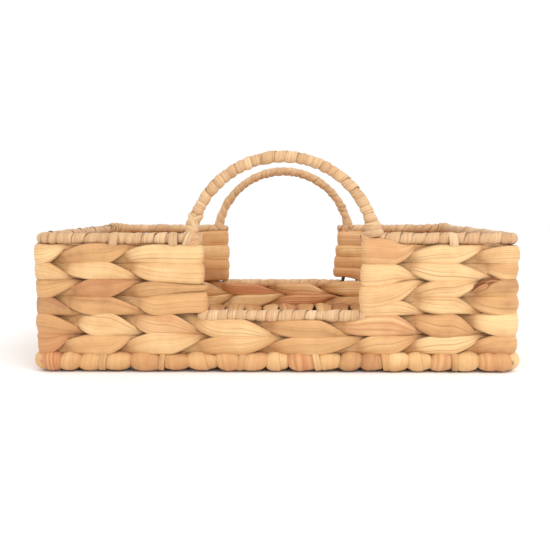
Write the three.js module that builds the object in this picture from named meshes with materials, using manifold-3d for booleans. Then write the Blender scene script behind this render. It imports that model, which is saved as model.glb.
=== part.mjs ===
// A bread basket woven from flattened plant stems on a welded wire frame.
//
// The long front and back walls dip in the middle, and a round arched handle stands over each dip.
// Six woven courses make the walls: the lower two run all the way round, and the upper four are
// U-shaped, one set round each end, and turn back at the wires on either side of the dip.
// The floor is a row of courses that run from front to back and turn round the bottom wire.
//
// Millimetres, +Z up. The origin is on the surface that the basket stands on, under its middle.
// +X is the long side, and the front faces -Y.
import * as THREE from "three";
import { mergeVertices } from "three/addons/utils/BufferGeometryUtils.js";
import Module from "manifold-3d";

const wasm = await Module();
wasm.setup();

// Plan of the frame, measured to the wires' centres.
const FRAME_X = 191;
const FRAME_Y = 141;
const CORNER_BEND = 5.5;

// Wires.
const HEAVY_WIRE_R = 2.2; // bottom, rim and handles
const LIGHT_WIRE_R = 1.5; // stakes, corner posts and ribs
const GAP = 0.3; // between pieces that meet
const WIRE_SIDES = 6;
const CHANNEL_SIDES = 4; // of the channel that a light wire leaves in the weave
const CHANNEL_REACH = 2; // past a wire's end, into the channel of the wire that it meets

// Heights.
const BORDER_R = 9; // the border round the bottom wire, which is also the floor's half thickness
const BORDER_BEND = 9.2; // of the border's middle line at the corners
const RIM_Z = 109;
const LOW_RIM_Z = 46;
const RIM_WRAP_R = 5;

// The dip in the front and back walls. Its middle is a little to the right of the basket's.
const DIP_MIDDLE = 5;
const DIP_WIRE_REACH = 69.5; // from the dip's middle to the upright wire on each side
const DIP_REACH = 64; // from the dip's middle to the woven edge
const DIP_BEND = 6;

// Handles: arcs of a circle that stand on the rim wire.
const HANDLE_R = 75.4;
const HANDLE_CENTRE_Z = 99.2;
const HANDLE_WRAP_R = 5.2;
const HANDLE_STEP = THREE.MathUtils.degToRad(12);

// Woven walls and floor.
const WALL_HALF = 6.5; // half the wall's thickness
const COURSES = 6;
const LOW_COURSES = 2; // the courses that run all the way round
const COURSE_BEVEL = 2;
const FLOOR_COURSES = 18;
const FLOOR_REACH = 181.5; // from the middle to the outer floor course's side
const STAKES_X = [-140, -90, -31, 31, 90, 140];
const RIBS_Y = [-84.6, -28.2, 28.2, 84.6];
const ROUND_SIDES = 10;

const LEAF = new THREE.MeshStandardMaterial({ color: 0xe3b47d, roughness: 0.62, metalness: 0 });
const STRIP = new THREE.MeshStandardMaterial({ color: 0xe6c395, roughness: 0.7, metalness: 0 });
const IRON = new THREE.MeshStandardMaterial({ color: 0x57504a, roughness: 0.5, metalness: 0.9 });

const basket = new THREE.Group();

// A curve through given points that is sampled at those points and nowhere else, so that a long
// straight wire costs no more triangles than its bends need.
class BentLine extends THREE.Curve {
  constructor(points) {
    super();
    this.points = points;
  }

  getUtoTmapping(u) {
    return u;
  }

  getPoint(t, target = new THREE.Vector3()) {
    const place = t * (this.points.length - 1);
    const i = Math.min(Math.floor(place), this.points.length - 2);
    return target.lerpVectors(this.points[i], this.points[i + 1], place - i);
  }

  getTangent(t, target = new THREE.Vector3()) {
    const last = this.points.length - 1;
    const i = Math.round(t * last);
    target.set(0, 0, 0);
    for (const [a, b] of [[i - 1, i], [i, i + 1]]) {
      if (a < 0 || b > last) continue;
      target.add(this.points[b].clone().sub(this.points[a]).normalize());
    }
    return target.normalize();
  }
}

// The points of a line with round bends: each corner is [x, y, z, bend radius].
function bentPoints(corners, stepsPerBend = 3) {
  const at = corners.map(([x, y, z]) => new THREE.Vector3(x, y, z));
  const points = [at[0]];
  for (let i = 1; i < at.length - 1; i++) {
    const radius = corners[i][3];
    const back = at[i - 1].clone().sub(at[i]).normalize();
    const ahead = at[i + 1].clone().sub(at[i]).normalize();
    const half = back.angleTo(ahead) / 2;
    const inward = back.clone().add(ahead).normalize();
    const centre = at[i].clone().addScaledVector(inward, radius / Math.sin(half));
    const first = at[i].clone().addScaledVector(back, radius / Math.tan(half)).sub(centre);
    const axis = back.clone().cross(ahead).normalize();
    const turn = Math.PI - 2 * half;
    for (let s = 0; s <= stepsPerBend; s++) {
      points.push(first.clone().applyAxisAngle(axis, -(turn * s) / stepsPerBend).add(centre));
    }
  }
  points.push(at.at(-1));
  return points;
}

// The same points with both ends moved outwards.
function lengthened(points, by) {
  const moved = points.map((p) => p.clone());
  const [a, b] = [moved[0], moved[1]];
  const [y, z] = moved.slice(-2);
  a.addScaledVector(a.clone().sub(b).normalize(), by);
  z.addScaledVector(z.clone().sub(y).normalize(), by);
  return moved;
}

function polygon(radius, sides) {
  const corners = Array.from({ length: sides }, (_, i) => {
    const angle = (2 * Math.PI * (i + 0.5)) / sides;
    return new THREE.Vector2(radius * Math.cos(angle), radius * Math.sin(angle));
  });
  return new THREE.Shape(corners);
}

function tube(points, radius, sides) {
  const extrudePath = new BentLine(points);
  const steps = points.length - 1;
  return solidOf(new THREE.ExtrudeGeometry(polygon(radius, sides), { steps, extrudePath }));
}

// A closed rectangle with round corners, as a shape or as the hole in one.
function roundedRectangle(Outline, x, y, radius) {
  const outline = new Outline();
  outline.absarc(x - radius, y - radius, radius, 0, Math.PI / 2);
  outline.absarc(radius - x, y - radius, radius, Math.PI / 2, Math.PI);
  outline.absarc(radius - x, radius - y, radius, Math.PI, 1.5 * Math.PI);
  outline.absarc(x - radius, radius - y, radius, 1.5 * Math.PI, 2 * Math.PI);
  outline.closePath();
  return outline;
}

// A band that follows the frame's plan, with its edges bevelled.
function band(half, z, height, bevel) {
  const outer = roundedRectangle(THREE.Shape, FRAME_X + half, FRAME_Y + half, CORNER_BEND + half);
  const innerBend = Math.max(CORNER_BEND - half, bevel + 0.5);
  outer.holes.push(roundedRectangle(THREE.Path, FRAME_X - half, FRAME_Y - half, innerBend));
  const geometry = new THREE.ExtrudeGeometry(outer, {
    depth: height - 2 * bevel,
    bevelSize: bevel,
    bevelOffset: -bevel,
    bevelThickness: bevel,
    bevelSegments: 1,
    curveSegments: 2,
  });
  return solidOf(geometry.translate(0, 0, z + bevel));
}

function block(x0, x1, y0, y1, z0, z1) {
  const geometry = new THREE.BoxGeometry(x1 - x0, y1 - y0, z1 - z0);
  return solidOf(geometry.translate((x0 + x1) / 2, (y0 + y1) / 2, (z0 + z1) / 2));
}

function solidOf(geometry) {
  geometry.deleteAttribute("normal");
  geometry.deleteAttribute("uv");
  const merged = mergeVertices(geometry, 1e-4);
  const vertProperties = merged.getAttribute("position").array;
  const triVerts = new Uint32Array(merged.index.array);
  return new wasm.Manifold(new wasm.Mesh({ numProp: 3, vertProperties, triVerts }));
}

function geometryOf(solid) {
  const { vertProperties, triVerts } = solid.getMesh();
  const geometry = new THREE.BufferGeometry();
  geometry.setAttribute("position", new THREE.BufferAttribute(vertProperties, 3));
  geometry.setIndex(new THREE.BufferAttribute(triVerts, 1));
  geometry.computeVertexNormals();
  return geometry;
}

function add(name, solid, material) {
  const mesh = new THREE.Mesh(geometryOf(solid), material);
  mesh.name = name;
  basket.add(mesh);
}

// Every wire leaves its own channel, one gap wider than itself, in whatever is woven or wrapped
// round it.
const channels = [];

function addWire(name, points, radius, channelSides = WIRE_SIDES) {
  const reach = channelSides === WIRE_SIDES ? radius * Math.cos(Math.PI / WIRE_SIDES) : radius;
  const wider = (reach + GAP) / Math.cos(Math.PI / channelSides);
  add(name, tube(points, radius, WIRE_SIDES), IRON);
  channels.push(tube(lengthened(points, CHANNEL_REACH), wider, channelSides));
}

function addBottomWire() {
  const wire = (half) => band(half, BORDER_R - half, 2 * half, 0.6 * half);
  add("bottom_frame_wire", wire(HEAVY_WIRE_R), IRON);
  channels.push(wire(HEAVY_WIRE_R + GAP));
}

// One long wire bent round the whole rim and down into both dips. Its ends meet on the left.
function addRimWire() {
  const left = DIP_MIDDLE - DIP_WIRE_REACH;
  const right = DIP_MIDDLE + DIP_WIRE_REACH;
  const dip = (y, from, to) => [
    [from, y, RIM_Z, DIP_BEND],
    [from, y, LOW_RIM_Z, DIP_BEND],
    [to, y, LOW_RIM_Z, DIP_BEND],
    [to, y, RIM_Z, DIP_BEND],
  ];
  const corners = [
    [-FRAME_X, -GAP, RIM_Z],
    [-FRAME_X, -FRAME_Y, RIM_Z, CORNER_BEND],
    ...dip(-FRAME_Y, left, right),
    [FRAME_X, -FRAME_Y, RIM_Z, CORNER_BEND],
    [FRAME_X, FRAME_Y, RIM_Z, CORNER_BEND],
    ...dip(FRAME_Y, right, left),
    [-FRAME_X, FRAME_Y, RIM_Z, CORNER_BEND],
    [-FRAME_X, GAP, RIM_Z],
  ];
  addWire("rim_wire", bentPoints(corners), HEAVY_WIRE_R);
}

// The points of a handle's arc down to a given height on both sides.
function handlePoints(y, footZ) {
  const foot = Math.asin((footZ - HANDLE_CENTRE_Z) / HANDLE_R);
  const steps = Math.ceil((Math.PI - 2 * foot) / HANDLE_STEP);
  return Array.from({ length: steps + 1 }, (_, i) => {
    const angle = foot + ((Math.PI - 2 * foot) * i) / steps;
    const x = DIP_MIDDLE + HANDLE_R * Math.cos(angle);
    return new THREE.Vector3(x, y, HANDLE_CENTRE_Z + HANDLE_R * Math.sin(angle));
  });
}

function addStake(name, x, y, top, channelSides = CHANNEL_SIDES) {
  const bottom = BORDER_R + HEAVY_WIRE_R + GAP;
  const ends = [new THREE.Vector3(x, y, bottom), new THREE.Vector3(x, y, top)];
  addWire(name, ends, LIGHT_WIRE_R, channelSides);
}

function addUprights() {
  const underRim = RIM_Z - HEAVY_WIRE_R - GAP;
  const underLowRim = LOW_RIM_Z - HEAVY_WIRE_R - GAP;
  for (const [side, y] of [["front", -FRAME_Y], ["back", FRAME_Y]]) {
    STAKES_X.forEach((x, i) => {
      const inDip = Math.abs(x - DIP_MIDDLE) < DIP_WIRE_REACH;
      addStake(`${side}_stake_${i + 1}`, x, y, inDip ? underLowRim : underRim);
    });
    const inset = CORNER_BEND * (1 - Math.SQRT1_2);
    for (const [end, sign] of [["left", -1], ["right", 1]]) {
      const x = sign * (FRAME_X - inset);
      addStake(`${side}_${end}_corner_post`, x, y - Math.sign(y) * inset, underRim, WIRE_SIDES);
    }
  }
}

// U-shaped wires: a stake in the left wall, a floor wire over the bottom wire, and a stake in the
// right wall.
function addRibs() {
  const top = RIM_Z - HEAVY_WIRE_R - GAP;
  const floor = BORDER_R + HEAVY_WIRE_R + GAP + LIGHT_WIRE_R;
  RIBS_Y.forEach((y, i) => {
    const corners = [
      [-FRAME_X, y, top],
      [-FRAME_X, y, floor, DIP_BEND],
      [FRAME_X, y, floor, DIP_BEND],
      [FRAME_X, y, top],
    ];
    addWire(`floor_rib_${i + 1}`, bentPoints(corners), LIGHT_WIRE_R, CHANNEL_SIDES);
  });
}

addBottomWire();
addRimWire();
addUprights();
addRibs();
for (const [side, y] of [["front", -FRAME_Y], ["back", FRAME_Y]]) {
  // The arc leans where it meets the rim wire, so its end face needs a little more room.
  const foot = RIM_Z + HEAVY_WIRE_R + 2 * GAP;
  addWire(`${side}_handle_wire`, handlePoints(y, foot), HEAVY_WIRE_R);
}

const allChannels = channels.reduce((sum, next) => sum.add(next));

// The strip wound round a wire: a solid rod with the wires' channels cut out of it.
function addWrap(name, rod) {
  add(name, rod.subtract(allChannels), STRIP);
}

function addHandleWraps() {
  const foot = RIM_Z + RIM_WRAP_R + HANDLE_WRAP_R * 0.3;
  for (const [side, y] of [["front", -FRAME_Y], ["back", FRAME_Y]]) {
    addWrap(`${side}_handle_wrap`, tube(handlePoints(y, foot), HANDLE_WRAP_R, ROUND_SIDES));
  }
}

function addRimWraps() {
  for (const [end, sign] of [["left", -1], ["right", 1]]) {
    const start = DIP_MIDDLE + sign * DIP_REACH;
    const corners = [
      [start, -FRAME_Y, RIM_Z],
      [sign * FRAME_X, -FRAME_Y, RIM_Z, CORNER_BEND],
      [sign * FRAME_X, FRAME_Y, RIM_Z, CORNER_BEND],
      [start, FRAME_Y, RIM_Z],
    ];
    addWrap(`${end}_rim_wrap`, tube(bentPoints(corners), RIM_WRAP_R, ROUND_SIDES));
  }
}

// The straight wrap on the low rim in the bottom of a dip.
function lowRimRod(y, radius) {
  const reach = DIP_REACH - GAP;
  const ends = [-reach, reach].map((x) => new THREE.Vector3(DIP_MIDDLE + x, y, LOW_RIM_Z));
  return tube(ends, radius, ROUND_SIDES);
}

// The strip wound round an end of the bottom wire and its two corners.
function borderRod(sign) {
  const inner = FLOOR_REACH + GAP;
  const far = 2 * FRAME_X;
  const corners = [
    [sign * (inner - BORDER_R), -FRAME_Y, BORDER_R],
    [sign * FRAME_X, -FRAME_Y, BORDER_R, BORDER_BEND],
    [sign * FRAME_X, FRAME_Y, BORDER_R, BORDER_BEND],
    [sign * (inner - BORDER_R), FRAME_Y, BORDER_R],
  ];
  const [from, to] = sign > 0 ? [inner, far] : [-far, -inner];
  const end = block(from, to, -far, far, 0, far);
  return tube(bentPoints(corners), BORDER_R, ROUND_SIDES).intersect(end);
}

function addWallCourses() {
  const bottom = 2 * BORDER_R;
  const pitch = (RIM_Z - RIM_WRAP_R - bottom) / COURSES;
  const far = 2 * FRAME_X;
  const lowRims = lowRimRod(-FRAME_Y, RIM_WRAP_R + GAP).add(lowRimRod(FRAME_Y, RIM_WRAP_R + GAP));
  for (let i = 0; i < COURSES; i++) {
    const z = bottom + i * pitch + GAP;
    const ring = band(WALL_HALF, z, pitch - GAP, COURSE_BEVEL).subtract(allChannels);
    if (i < LOW_COURSES) {
      add(`wall_course_${i + 1}`, ring.subtract(lowRims), LEAF);
      continue;
    }
    const left = block(-far, DIP_MIDDLE - DIP_REACH, -far, far, z - 1, z + pitch);
    const right = block(DIP_MIDDLE + DIP_REACH, far, -far, far, z - 1, z + pitch);
    add(`left_course_${i + 1}`, ring.intersect(left), LEAF);
    add(`right_course_${i + 1}`, ring.intersect(right), LEAF);
  }
}

// Each floor course is a plank with half-round ends, where its strands turn round the bottom wire.
function addFloorCourses() {
  const side = new THREE.Shape();
  side.absarc(FRAME_Y, BORDER_R, BORDER_R, -Math.PI / 2, Math.PI / 2);
  side.absarc(-FRAME_Y, BORDER_R, BORDER_R, Math.PI / 2, 1.5 * Math.PI);
  side.closePath();
  const pitch = (2 * FLOOR_REACH) / FLOOR_COURSES;
  for (let i = 0; i < FLOOR_COURSES; i++) {
    const extrude = { depth: pitch - GAP, bevelEnabled: false, curveSegments: 3 };
    const geometry = new THREE.ExtrudeGeometry(side, extrude);
    geometry.rotateX(Math.PI / 2);
    geometry.rotateZ(Math.PI / 2);
    geometry.translate(-FLOOR_REACH + i * pitch + GAP / 2, 0, 0);
    const number = String(i + 1).padStart(2, "0");
    add(`floor_course_${number}`, solidOf(geometry).subtract(allChannels), LEAF);
  }
}

addRimWraps();
addHandleWraps();
addWrap("front_low_rim_wrap", lowRimRod(-FRAME_Y, RIM_WRAP_R));
addWrap("back_low_rim_wrap", lowRimRod(FRAME_Y, RIM_WRAP_R));
addWrap("left_border_wrap", borderRod(-1));
addWrap("right_border_wrap", borderRod(1));
addWallCourses();
addFloorCourses();

export default basket;
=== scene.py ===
"""The looks of a bread basket: flattened plant stems woven and wound round a welded wire frame.

Every stem and strip is a path of points worked out from the frame. A Geometry Nodes tree sweeps a
leaf-shaped section along the paths, and its result becomes a plain mesh, one for each CAD node
that it stands for. Everything is in metres.
"""

import math

import bpy
import numpy as np
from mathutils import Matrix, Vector


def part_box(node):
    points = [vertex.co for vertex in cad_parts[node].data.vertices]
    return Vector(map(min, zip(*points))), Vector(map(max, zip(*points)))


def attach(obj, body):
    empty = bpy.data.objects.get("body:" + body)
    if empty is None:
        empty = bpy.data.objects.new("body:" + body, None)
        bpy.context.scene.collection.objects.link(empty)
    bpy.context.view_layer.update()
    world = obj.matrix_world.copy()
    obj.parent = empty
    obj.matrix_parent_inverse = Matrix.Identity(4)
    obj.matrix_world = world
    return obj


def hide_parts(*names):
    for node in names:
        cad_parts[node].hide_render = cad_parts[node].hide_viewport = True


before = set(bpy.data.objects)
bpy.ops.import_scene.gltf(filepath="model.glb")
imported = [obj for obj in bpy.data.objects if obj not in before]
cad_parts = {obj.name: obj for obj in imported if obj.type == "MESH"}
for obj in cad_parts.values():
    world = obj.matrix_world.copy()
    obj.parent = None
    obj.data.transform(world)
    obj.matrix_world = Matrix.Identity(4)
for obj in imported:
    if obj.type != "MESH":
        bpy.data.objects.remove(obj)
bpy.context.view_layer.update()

bl_info = {
    "name": "Woven Bread Basket",
    "version": (1, 0, 0),
    "blender": (4, 5, 0),
    "location": "3D View > Sidebar > Basket",
    "description": "Weaves and winds a bread basket round its wire frame",
    "category": "Add Mesh",
}

MM = 0.001
BODY = "root"

SIDES = ("front", "back")
ENDS = ("left", "right")
WALL_COURSES = 6
RINGS = 2  # the courses that run all the way round, counted from the bottom
FLOOR_COURSES = 18
STAKES_PER_SIDE = 6
RIBS = 4


def middle(node):
    low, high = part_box(node)
    return (low + high) / 2


def half_size(node):
    low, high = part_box(node)
    return (high - low) / 2


# The frame's plan, to the wires' centres.
WIRE_R = half_size("bottom_frame_wire").z
PLAN_X = half_size("bottom_frame_wire").x - WIRE_R
PLAN_Y = half_size("bottom_frame_wire").y - WIRE_R
CORNER_BEND = 5.5 * MM
BOTTOM_Z = middle("bottom_frame_wire").z
RIM_Z = middle("left_rim_wrap").z
LOW_RIM_Z = middle("front_low_rim_wrap").z
RIM_R = half_size("left_rim_wrap").z

# The dip in the front and back walls: its woven edges and the upright wires just behind them.
DIP_EDGES = {"left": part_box("left_course_3")[1].x, "right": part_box("right_course_3")[0].x}
DIP_WIRE_INSET = 5.5 * MM
DIP_MIDDLE = (DIP_EDGES["left"] + DIP_EDGES["right"]) / 2

STAKES_X = [middle(f"front_stake_{i + 1}").x for i in range(STAKES_PER_SIDE)]
RIBS_Y = [middle(f"floor_rib_{i + 1}").y for i in range(RIBS)]


# ---------------------------------------------------------------- settings


class BasketWeave(bpy.types.PropertyGroup):
    """Sizes of the woven stems."""

    stem_half_width: bpy.props.FloatProperty(
        name="Stem half width", description="Half the width of a stem where it passes a stake",
        default=8.4 * MM, unit="LENGTH")
    stem_half_thickness: bpy.props.FloatProperty(
        name="Stem half thickness", description="Half a flattened stem's thickness",
        default=2.4 * MM, unit="LENGTH")
    tip_half_width: bpy.props.FloatProperty(
        name="Tip half width", description="Half the width where a stem goes to the back",
        default=2.4 * MM, unit="LENGTH")
    root_half_width: bpy.props.FloatProperty(
        name="Root half width", description="Half the width where a stem comes to the front",
        default=5.7 * MM, unit="LENGTH")
    reach: bpy.props.FloatProperty(
        name="Reach", description="From the wall's middle to the middle of a stem at a stake",
        default=4.3 * MM, unit="LENGTH")
    cup: bpy.props.FloatProperty(
        name="Cup", description="How far a stem's edges curl in over a stake",
        default=0.8 * MM, unit="LENGTH")
    crease_depth: bpy.props.FloatProperty(
        name="Crease depth", description="Depth of the creases that run along a stem",
        default=0.42 * MM, unit="LENGTH")
    fold_drop: bpy.props.FloatProperty(
        name="Fold drop", description="Step where a stem is folded over itself",
        default=0.9 * MM, unit="LENGTH")
    seed: bpy.props.IntProperty(
        name="Seed", description="Chooses the stems' irregularities", default=7)


class BasketWraps(bpy.types.PropertyGroup):
    """Sizes of the wound strips."""

    rim_pitch: bpy.props.FloatProperty(
        name="Rim pitch", description="From one turn to the next on the rims",
        default=8.8 * MM, unit="LENGTH")
    handle_pitch: bpy.props.FloatProperty(
        name="Handle pitch", description="From one turn to the next on the handles",
        default=7.6 * MM, unit="LENGTH")
    strip_half_thickness: bpy.props.FloatProperty(
        name="Strip half thickness", description="Half the strip's thickness",
        default=1.1 * MM, unit="LENGTH")
    cup: bpy.props.FloatProperty(
        name="Cup", description="How far a strip's edges curl in",
        default=0.95 * MM, unit="LENGTH")
    shingle: bpy.props.FloatProperty(
        name="Shingle", description="How far each turn leans over the one before",
        default=math.radians(6), subtype="ANGLE")
    seed: bpy.props.IntProperty(
        name="Seed", description="Chooses the turns' irregularities", default=11)


class BasketColours(bpy.types.PropertyGroup):
    """Colours of the stems, strips and wires."""

    shade: bpy.props.FloatVectorProperty(
        name="Shaded straw", description="The darkest and greyest stems",
        default=(0.44, 0.21, 0.085), subtype="COLOR", size=3)
    straw: bpy.props.FloatVectorProperty(
        name="Straw", description="Most stems",
        default=(0.66, 0.365, 0.148), subtype="COLOR", size=3)
    pale: bpy.props.FloatVectorProperty(
        name="Pale straw", description="The lightest stems",
        default=(0.82, 0.545, 0.262), subtype="COLOR", size=3)
    blush: bpy.props.FloatVectorProperty(
        name="Blush", description="Red-brown stains on some stems",
        default=(0.52, 0.175, 0.07), subtype="COLOR", size=3)
    strip_shade: bpy.props.FloatVectorProperty(
        name="Shaded strip", description="The darkest turns of strip",
        default=(0.46, 0.265, 0.135), subtype="COLOR", size=3)
    strip: bpy.props.FloatVectorProperty(
        name="Strip", description="Most turns of strip",
        default=(0.63, 0.385, 0.195), subtype="COLOR", size=3)
    strip_pale: bpy.props.FloatVectorProperty(
        name="Pale strip", description="The lightest turns of strip",
        default=(0.77, 0.53, 0.30), subtype="COLOR", size=3)
    wire: bpy.props.FloatVectorProperty(
        name="Wire", description="Varnished iron wire",
        default=(0.07, 0.055, 0.04), subtype="COLOR", size=3)


class BasketStage(bpy.types.PropertyGroup):
    """Floor, lights and camera."""

    floor: bpy.props.FloatVectorProperty(
        name="Floor", description="Colour of the floor",
        default=(0.955, 0.955, 0.955), subtype="COLOR", size=3)
    ambient: bpy.props.FloatProperty(
        name="Ambient", description="Brightness of the room's even light", default=1.04)
    key_power: bpy.props.FloatProperty(
        name="Key light", description="Power of the main soft light", default=11.0, unit="POWER")
    fill_power: bpy.props.FloatProperty(
        name="Fill light", description="Power of the soft light on the left",
        default=2.5, unit="POWER")
    lens: bpy.props.FloatProperty(
        name="Lens", description="The camera's focal length", default=53.0, unit="CAMERA")


# ---------------------------------------------------------------- node helpers


class Value:
    """What a node puts out. Arithmetic on values adds the nodes that work it out."""

    def __init__(self, nodes, socket):
        self.nodes = nodes
        self.socket = socket

    def __add__(self, other):
        return self.nodes.math("ADD", self, other)

    def __sub__(self, other):
        return self.nodes.math("SUBTRACT", self, other)

    def __rsub__(self, other):
        return self.nodes.math("SUBTRACT", other, self)

    def __mul__(self, other):
        return self.nodes.math("MULTIPLY", self, other)

    def __truediv__(self, other):
        return self.nodes.math("DIVIDE", self, other)

    def __abs__(self):
        return self.nodes.math("ABSOLUTE", self)


class Nodes:
    """Adds nodes to a tree and feeds their inputs with constants or with other nodes' values."""

    def __init__(self, tree):
        self.tree = tree

    def add(self, kind, inputs=(), **settings):
        node = self.tree.nodes.new(kind)
        for name, setting in settings.items():
            setattr(node, name, setting)
        for key, value in dict(inputs).items():
            if isinstance(value, Value):
                self.tree.links.new(value.socket, node.inputs[key])
            else:
                node.inputs[key].default_value = value
        return node

    def value(self, kind, inputs=(), output=0, **settings):
        return Value(self, self.add(kind, inputs, **settings).outputs[output])

    def given(self):
        """The tree's own inputs, by name."""
        return {socket.name: Value(self, socket) for socket in self.add("NodeGroupInput").outputs}

    def math(self, operation, *values, clamp=False):
        return self.value(
            "ShaderNodeMath", enumerate(values), operation=operation, use_clamp=clamp)

    def vector(self, operation, inputs):
        return self.value("ShaderNodeVectorMath", inputs, operation=operation)

    def combine(self, *values):
        return self.value("ShaderNodeCombineXYZ", enumerate(values))

    def separate(self, vector):
        node = self.add("ShaderNodeSeparateXYZ", {0: vector})
        return [Value(self, socket) for socket in node.outputs]

    def smooth(self, value, low, high, to_low=0.0, to_high=1.0):
        inputs = {"Value": value, "From Min": low, "From Max": high, "To Min": to_low,
                  "To Max": to_high}
        return self.value("ShaderNodeMapRange", inputs, interpolation_type="SMOOTHSTEP")

    def noise(self, vector, scale, detail=2.0, roughness=0.5):
        inputs = {"Vector": vector, "Scale": scale, "Detail": detail, "Roughness": roughness}
        return self.value("ShaderNodeTexNoise", inputs, "Fac")

    def mix(self, factor, first, second, blend="MIX"):
        inputs = {0: factor, 6: first, 7: second}
        return self.value("ShaderNodeMix", inputs, 2, data_type="RGBA", blend_type=blend)


def add_sockets(tree, inputs, outputs):
    """Gives a tree its inputs, each a kind, a name and most with a default, and its outputs."""
    for kind, name, *default in inputs:
        socket = tree.interface.new_socket(name, in_out="INPUT", socket_type="NodeSocket" + kind)
        if default:
            socket.default_value = default[0]
    for kind, name in outputs:
        tree.interface.new_socket(name, in_out="OUTPUT", socket_type="NodeSocket" + kind)


# ---------------------------------------------------------------- the ribbon tree

# What each point of a path carries into the tree: two directions, numbers for its shape, and
# numbers that the materials read, along with the "fibre" vector that the tree adds.
VECTORS = ("facing", "across")
SHAPING = ("half_width", "half_thickness", "cup", "along", "strand")
KEPT = ("tone", "shade", "blush", "fold", "fold_depth", "plain")


def ribbon_tree():
    """Sweeps a leaf-shaped section along paths. Its flat faces look along "facing"."""
    tree = bpy.data.node_groups.new("Leaf Ribbon", "GeometryNodeTree")
    inputs = (
        ("Geometry", "Paths"), ("Int", "Section Points", 28), ("Float", "Crease Depth", 0.5 * MM),
        ("Float", "Crease Length", 0.09), ("Float", "Creases Across", 1.7),
        ("Float", "Fold Drop", 0.5 * MM), ("Int", "Seed", 0), ("Material", "Material"))
    add_sockets(tree, inputs, [("Geometry", "Ribbon")])
    make = Nodes(tree)
    given = make.given()

    def named(name, kind="FLOAT"):
        node = "GeometryNodeInputNamedAttribute"
        return make.value(node, {"Name": name}, "Attribute", data_type=kind)

    def store(geometry, name, value, kind="FLOAT"):
        inputs = {"Geometry": geometry, "Name": name, "Value": value}
        node = "GeometryNodeStoreNamedAttribute"
        return make.value(node, inputs, data_type=kind, domain="POINT")

    paths = make.value("GeometryNodeMeshToCurve", {"Mesh": given["Paths"]})
    paths = store(paths, "centre", make.value("GeometryNodeInputPosition"), "FLOAT_VECTOR")
    circle = make.value("GeometryNodeCurvePrimitiveCircle", {
        "Resolution": given["Section Points"], "Radius": MM})
    share = make.value("GeometryNodeInputIndex") / given["Section Points"]
    section = store(circle, "turn", share)
    swept = make.value("GeometryNodeCurveToMesh", {
        "Curve": paths, "Profile Curve": section, "Fill Caps": True})

    # Round the section: from -1 to 1 across the leaf and back, spread more evenly than on an
    # ellipse, so that the flat faces have enough points for their creases.
    turn = named("turn")
    angle = turn * math.tau
    even = abs(turn - 0.5) * 4.0 - 1.0
    width = (make.math("COSINE", angle) + even) * 0.5
    squared_rise = 1.0 - make.math("POWER", abs(width), 3.2)
    rise = make.math("SQRT", make.math("MAXIMUM", squared_rise, 0.0))
    face = make.math("SIGN", make.math("SINE", angle))

    # Creases are a noise drawn out along the stem, and a fold is a step across it.
    seed = named("strand") * 7.31 + given["Seed"]
    creases = make.combine(
        named("along") / given["Crease Length"], width * given["Creases Across"],
        seed + face * 2.7)
    ripple = (make.noise(creases, 1.0, 3.0, 0.6) - 0.5) * 2.0 * given["Crease Depth"]
    step = make.smooth(width - named("fold"), -0.06, 0.06) * named("fold_depth")
    relief = (ripple - step * given["Fold Drop"]) * rise * face
    height = rise * face * named("half_thickness") + relief - named("cup") * (width * width)

    sideways = make.vector("SCALE", {
        0: named("across", "FLOAT_VECTOR"), "Scale": width * named("half_width")})
    outward = make.vector("SCALE", {0: named("facing", "FLOAT_VECTOR"), "Scale": height})
    offset = make.vector("ADD", {0: sideways, 1: outward})
    target = make.vector("ADD", {0: named("centre", "FLOAT_VECTOR"), 1: offset})
    shape = make.value("GeometryNodeSetPosition", {"Geometry": swept, "Position": target})
    fibre = make.combine(named("along"), width, seed + face)
    shape = store(shape, "fibre", fibre, "FLOAT_VECTOR")
    for name in (*VECTORS, *SHAPING, "centre", "turn"):
        shape = make.value("GeometryNodeRemoveAttribute", {"Geometry": shape, "Name": name})
    shape = make.value("GeometryNodeSetShadeSmooth", {"Geometry": shape})
    shape = make.value("GeometryNodeRealizeInstances", {"Geometry": shape})
    shape = make.value("GeometryNodeSetMaterial", {
        "Geometry": shape, "Material": given["Material"]})
    make.add("NodeGroupOutput", {"Ribbon": shape})
    return tree


class Paths:
    """The paths of one piece's stems or strips, with what each point carries."""

    def __init__(self):
        self.points = []
        self.values = {name: [] for name in (*VECTORS, *SHAPING, *KEPT)}
        self.edges = []
        self.count = 0
        self.strands = 0

    def add(self, centres, facing, **numbers):
        """One path. Each number is one value, or one for each point."""
        centres = np.asarray(centres, float)
        facing = np.asarray(facing, float)
        along = np.concatenate([[0.0], np.cumsum(lengths(np.diff(centres, axis=0)))])
        heading = unit(np.gradient(centres, axis=0))
        across = unit(np.cross(heading, facing))
        self.values["facing"].append(unit(np.cross(across, heading)))
        self.values["across"].append(across)
        numbers = {"along": along, "strand": self.strands, "cup": 0.0, "shade": 0.0, "blush": 0.0,
                   "fold": 0.0, "fold_depth": 0.0, "plain": 0.0, **numbers}
        for name in (*SHAPING, *KEPT):
            self.values[name].append(np.broadcast_to(numbers[name], len(centres)))
        first = self.count
        self.points.append(centres)
        self.edges += [(first + i, first + i + 1) for i in range(len(centres) - 1)]
        self.count += len(centres)
        self.strands += 1

    def mesh(self, name):
        mesh = bpy.data.meshes.new(name)
        mesh.from_pydata(np.concatenate(self.points), self.edges, [])
        for key, parts in self.values.items():
            kind, field = ("FLOAT_VECTOR", "vector") if key in VECTORS else ("FLOAT", "value")
            attribute = mesh.attributes.new(key, kind, "POINT")
            attribute.data.foreach_set(field, np.concatenate(parts).astype(np.float32).ravel())
        return mesh


def lengths(vectors):
    return np.linalg.norm(vectors, axis=-1)


def unit(vectors):
    return vectors / np.maximum(lengths(vectors), 1e-12)[..., None]


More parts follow.
